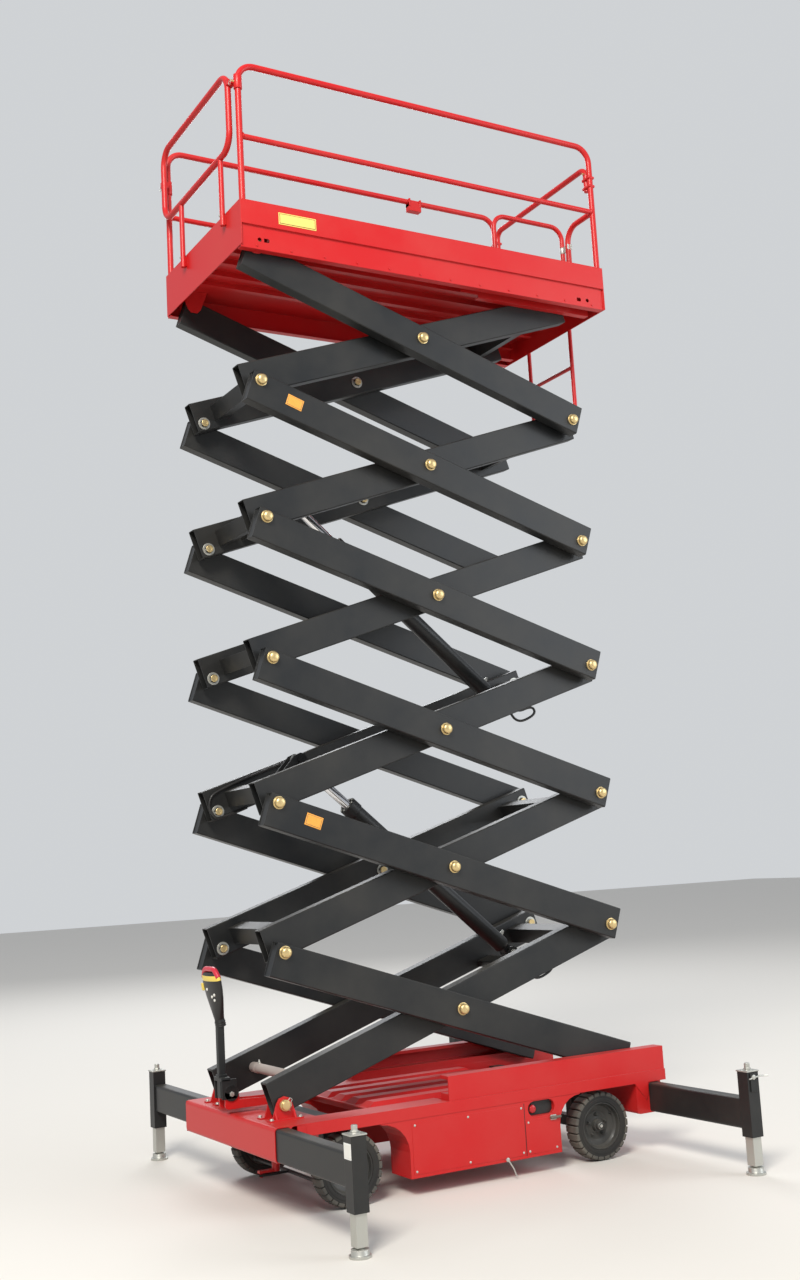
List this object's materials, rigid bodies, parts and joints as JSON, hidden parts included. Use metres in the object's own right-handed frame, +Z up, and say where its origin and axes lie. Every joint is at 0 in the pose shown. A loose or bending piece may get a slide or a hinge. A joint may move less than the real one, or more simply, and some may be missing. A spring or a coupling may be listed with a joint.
{
  "type": "scissor lift",
  "caption": "Mobile scissor lift on small wheels and slide-out outriggers, with folding arms, hydraulic cylinders and a railed platform.",
  "frame": {"origin": "on the ground under the middle of the whole outline", "axes": "+X from the towing end to the ladder end, +Y to the far side, +Z up"},
  "size_m": [2.784, 3.027, 6.4811],
  "materials": {
    "red_paint": "gloss enamel",
    "black_paint": "satin enamel",
    "zinc": "zinc plated",
    "chrome": "polished",
    "rubber": "matt",
    "rim_paint": "satin enamel",
    "black_plastic": "moulded"
  },
  "bodies": {
    "chassis": {"chassis_frame": "red_paint", "deck_cover": "red_paint", "cabinets": "red_paint", "axles": "black_paint"},
    "inner_1": {"inner_arms_1": "black_paint", "hose_lower": "black_plastic"},
    "outer_1": {"outer_arms_1": "black_paint"},
    "inner_2": {"inner_arms_2": "black_paint"},
    "outer_2": {"outer_arms_2": "black_paint"},
    "inner_3": {"inner_arms_3": "black_paint", "hose_upper": "black_plastic"},
    "outer_3": {"outer_arms_3": "black_paint"},
    "inner_4": {"inner_arms_4": "black_paint"},
    "outer_4": {"outer_arms_4": "black_paint"},
    "inner_5": {"inner_arms_5": "black_paint"},
    "outer_5": {"outer_arms_5": "black_paint"},
    "inner_6": {"inner_arms_6": "black_paint"},
    "outer_6": {"outer_arms_6": "black_paint"},
    "platform": {"platform_frame": "red_paint", "side_rails": "red_paint", "front_loop": "red_paint", "rear_rail": "red_paint", "ladder": "red_paint"},
    "platform_gate": {"gate": "red_paint"},
    "lower_barrel": {"barrel_lower": "black_paint"},
    "lower_rod": {"rod_lower": "chrome"},
    "upper_barrel": {"barrel_upper": "black_paint"},
    "upper_rod": {"rod_upper": "chrome"},
    "steering": {"drawbar": "red_paint"},
    "tiller": {"tiller_pole": "black_paint", "tiller_head": "black_plastic"},
    "track_rod": {"tie_rod": "black_paint"},
    "steer_near": {"knuckle_near": "black_paint"},
    "wheel_front_near": {"tyre_front_near": "rubber", "rim_front_near": "rim_paint"},
    "outrigger_front_near": {"beam_front_near": "black_paint"},
    "foot_front_near": {"leg_front_near": "zinc"},
    "wheel_rear_near": {"tyre_rear_near": "rubber", "rim_rear_near": "rim_paint"},
    "outrigger_rear_near": {"beam_rear_near": "black_paint"},
    "foot_rear_near": {"leg_rear_near": "zinc"},
    "steer_far": {"knuckle_far": "black_paint"},
    "wheel_front_far": {"tyre_front_far": "rubber", "rim_front_far": "rim_paint"},
    "outrigger_front_far": {"beam_front_far": "black_paint"},
    "foot_front_far": {"leg_front_far": "zinc"},
    "wheel_rear_far": {"tyre_rear_far": "rubber", "rim_rear_far": "rim_paint"},
    "outrigger_rear_far": {"beam_rear_far": "black_paint"},
    "foot_rear_far": {"leg_rear_far": "zinc"}
  },
  "joints": [
    {"name": "lift", "type": "hinge", "parent": "chassis", "child": "inner_1", "pos_m": [-1.11749, 0, 0.549], "axis": [0, -1, 0], "range_deg": [-15, 30]},
    {"name": "mid_pin_1", "type": "hinge", "parent": "inner_1", "child": "outer_1", "pos_m": [-0.0184, 0, 0.95012], "axis": [0, -1, 0], "range_deg": [-60.5, 30.5]},
    {"name": "end_pin_1", "type": "hinge", "parent": "outer_1", "child": "inner_2", "pos_m": [-1.11749, 0, 1.35125], "axis": [0, -1, 0], "range_deg": [-30.5, 60.5]},
    {"name": "mid_pin_2", "type": "hinge", "parent": "inner_2", "child": "outer_2", "pos_m": [-0.0184, 0, 1.75237], "axis": [0, -1, 0], "range_deg": [-60.5, 30.5]},
    {"name": "end_pin_2", "type": "hinge", "parent": "outer_2", "child": "inner_3", "pos_m": [-1.11749, 0, 2.15349], "axis": [0, -1, 0], "range_deg": [-30.5, 60.5]},
    {"name": "mid_pin_3", "type": "hinge", "parent": "inner_3", "child": "outer_3", "pos_m": [-0.0184, 0, 2.55461], "axis": [0, -1, 0], "range_deg": [-60.5, 30.5]},
    {"name": "end_pin_3", "type": "hinge", "parent": "outer_3", "child": "inner_4", "pos_m": [-1.11749, 0, 2.95574], "axis": [0, -1, 0], "range_deg": [-30.5, 60.5]},
    {"name": "mid_pin_4", "type": "hinge", "parent": "inner_4", "child": "outer_4", "pos_m": [-0.0184, 0, 3.35686], "axis": [0, -1, 0], "range_deg": [-60.5, 30.5]},
    {"name": "end_pin_4", "type": "hinge", "parent": "outer_4", "child": "inner_5", "pos_m": [-1.11749, 0, 3.75798], "axis": [0, -1, 0], "range_deg": [-30.5, 60.5]},
    {"name": "mid_pin_5", "type": "hinge", "parent": "inner_5", "child": "outer_5", "pos_m": [-0.0184, 0, 4.15911], "axis": [0, -1, 0], "range_deg": [-60.5, 30.5]},
    {"name": "end_pin_5", "type": "hinge", "parent": "outer_5", "child": "inner_6", "pos_m": [-1.11749, 0, 4.56023], "axis": [0, -1, 0], "range_deg": [-30.5, 60.5]},
    {"name": "mid_pin_6", "type": "hinge", "parent": "inner_6", "child": "outer_6", "pos_m": [-0.0184, 0, 4.96135], "axis": [0, -1, 0], "range_deg": [-60.5, 30.5]},
    {"name": "platform_pin", "type": "hinge", "parent": "outer_6", "child": "platform", "pos_m": [-1.11749, 0, 5.36247], "axis": [0, -1, 0], "range_deg": [-15.5, 30.5]},
    {"name": "cylinder_pivot_lower", "type": "hinge", "parent": "inner_1", "child": "lower_barrel", "pos_m": [0.6718, 0, 1.19989], "axis": [0, -1, 0], "range_deg": [-65, 32.75]},
    {"name": "cylinder_rod_lower", "type": "slide", "parent": "lower_barrel", "child": "lower_rod", "axis": [-0.7553, 0, 0.6554], "range_m": [-0.369, 0.735]},
    {"name": "cylinder_pivot_upper", "type": "hinge", "parent": "inner_3", "child": "upper_barrel", "pos_m": [0.6718, 0, 2.80438], "axis": [0, -1, 0], "range_deg": [-65, 32.75]},
    {"name": "cylinder_rod_upper", "type": "slide", "parent": "upper_barrel", "child": "upper_rod", "axis": [-0.7553, 0, 0.6554], "range_m": [-0.369, 0.735]},
    {"name": "gate_hinge", "type": "hinge", "parent": "platform", "child": "platform_gate", "pos_m": [1.33769, -0.225, 5.7], "axis": [0, 0, -1], "range_deg": [0, 90]},
    {"name": "steer", "type": "hinge", "parent": "chassis", "child": "steering", "pos_m": [-0.98649, 0, 0.5], "axis": [0, 0, 1], "range_deg": [-25, 25]},
    {"name": "kingpin_near", "type": "hinge", "parent": "chassis", "child": "steer_near", "pos_m": [-0.81849, -0.45, 0.196], "axis": [0, 0, 1], "range_deg": [-25.5, 25.5]},
    {"name": "kingpin_far", "type": "hinge", "parent": "chassis", "child": "steer_far", "pos_m": [-0.81849, 0.45, 0.196], "axis": [0, 0, 1], "range_deg": [-25.5, 25.5]},
    {"name": "track_rod_pin", "type": "hinge", "parent": "steer_near", "child": "track_rod", "pos_m": [-0.90849, -0.45, 0.116], "axis": [0, 0, 1], "range_deg": [-25.5, 25.5]},
    {"name": "tiller_tilt", "type": "hinge", "parent": "steering", "child": "tiller", "pos_m": [-1.25849, 0, 0.583], "axis": [0, -1, 0], "range_deg": [-10, 75]},
    {"name": "wheel_spin_front_near", "type": "hinge", "parent": "steer_near", "child": "wheel_front_near", "pos_m": [-0.81849, -0.546, 0.196], "axis": [0, 1, 0], "continuous": true},
    {"name": "wheel_spin_front_far", "type": "hinge", "parent": "steer_far", "child": "wheel_front_far", "pos_m": [-0.81849, 0.546, 0.196], "axis": [0, 1, 0], "continuous": true},
    {"name": "wheel_spin_rear_near", "type": "hinge", "parent": "chassis", "child": "wheel_rear_near", "pos_m": [0.85169, -0.546, 0.196], "axis": [0, 1, 0], "continuous": true},
    {"name": "wheel_spin_rear_far", "type": "hinge", "parent": "chassis", "child": "wheel_rear_far", "pos_m": [0.85169, 0.546, 0.196], "axis": [0, 1, 0], "continuous": true},
    {"name": "extend_front_near", "type": "slide", "parent": "chassis", "child": "outrigger_front_near", "axis": [0, 1, 0], "range_m": [0, 0.78]},
    {"name": "jack_front_near", "type": "slide", "parent": "outrigger_front_near", "child": "foot_front_near", "axis": [0, 0, 1], "range_m": [0, 0.15]},
    {"name": "extend_front_far", "type": "slide", "parent": "chassis", "child": "outrigger_front_far", "axis": [0, -1, 0], "range_m": [0, 0.78]},
    {"name": "jack_front_far", "type": "slide", "parent": "outrigger_front_far", "child": "foot_front_far", "axis": [0, 0, 1], "range_m": [0, 0.15]},
    {"name": "extend_rear_near", "type": "slide", "parent": "chassis", "child": "outrigger_rear_near", "axis": [0, 1, 0], "range_m": [0, 0.78]},
    {"name": "jack_rear_near", "type": "slide", "parent": "outrigger_rear_near", "child": "foot_rear_near", "axis": [0, 0, 1], "range_m": [0, 0.15]},
    {"name": "extend_rear_far", "type": "slide", "parent": "chassis", "child": "outrigger_rear_far", "axis": [0, -1, 0], "range_m": [0, 0.78]},
    {"name": "jack_rear_far", "type": "slide", "parent": "outrigger_rear_far", "child": "foot_rear_far", "axis": [0, 0, 1], "range_m": [0, 0.15]}
  ],
  "couplings": [
    {"joint": "mid_pin_1", "follows": "lift", "ratio": -2},
    {"joint": "end_pin_1", "follows": "lift", "ratio": 2},
    {"joint": "mid_pin_2", "follows": "lift", "ratio": -2},
    {"joint": "end_pin_2", "follows": "lift", "ratio": 2},
    {"joint": "mid_pin_3", "follows": "lift", "ratio": -2},
    {"joint": "end_pin_3", "follows": "lift", "ratio": 2},
    {"joint": "mid_pin_4", "follows": "lift", "ratio": -2},
    {"joint": "end_pin_4", "follows": "lift", "ratio": 2},
    {"joint": "mid_pin_5", "follows": "lift", "ratio": -2},
    {"joint": "end_pin_5", "follows": "lift", "ratio": 2},
    {"joint": "mid_pin_6", "follows": "lift", "ratio": -2},
    {"joint": "platform_pin", "follows": "lift", "ratio": 1},
    {"joint": "cylinder_pivot_lower", "follows": "lift", "ratio": -2.15},
    {"joint": "cylinder_rod_lower", "follows": "lift", "m_per_rad": 1.398},
    {"joint": "cylinder_pivot_upper", "follows": "lift", "ratio": -2.15},
    {"joint": "cylinder_rod_upper", "follows": "lift", "m_per_rad": 1.398},
    {"joint": "kingpin_near", "follows": "steer", "ratio": 1},
    {"joint": "kingpin_far", "follows": "steer", "ratio": 1},
    {"joint": "track_rod_pin", "follows": "steer", "ratio": -1}
  ]
}
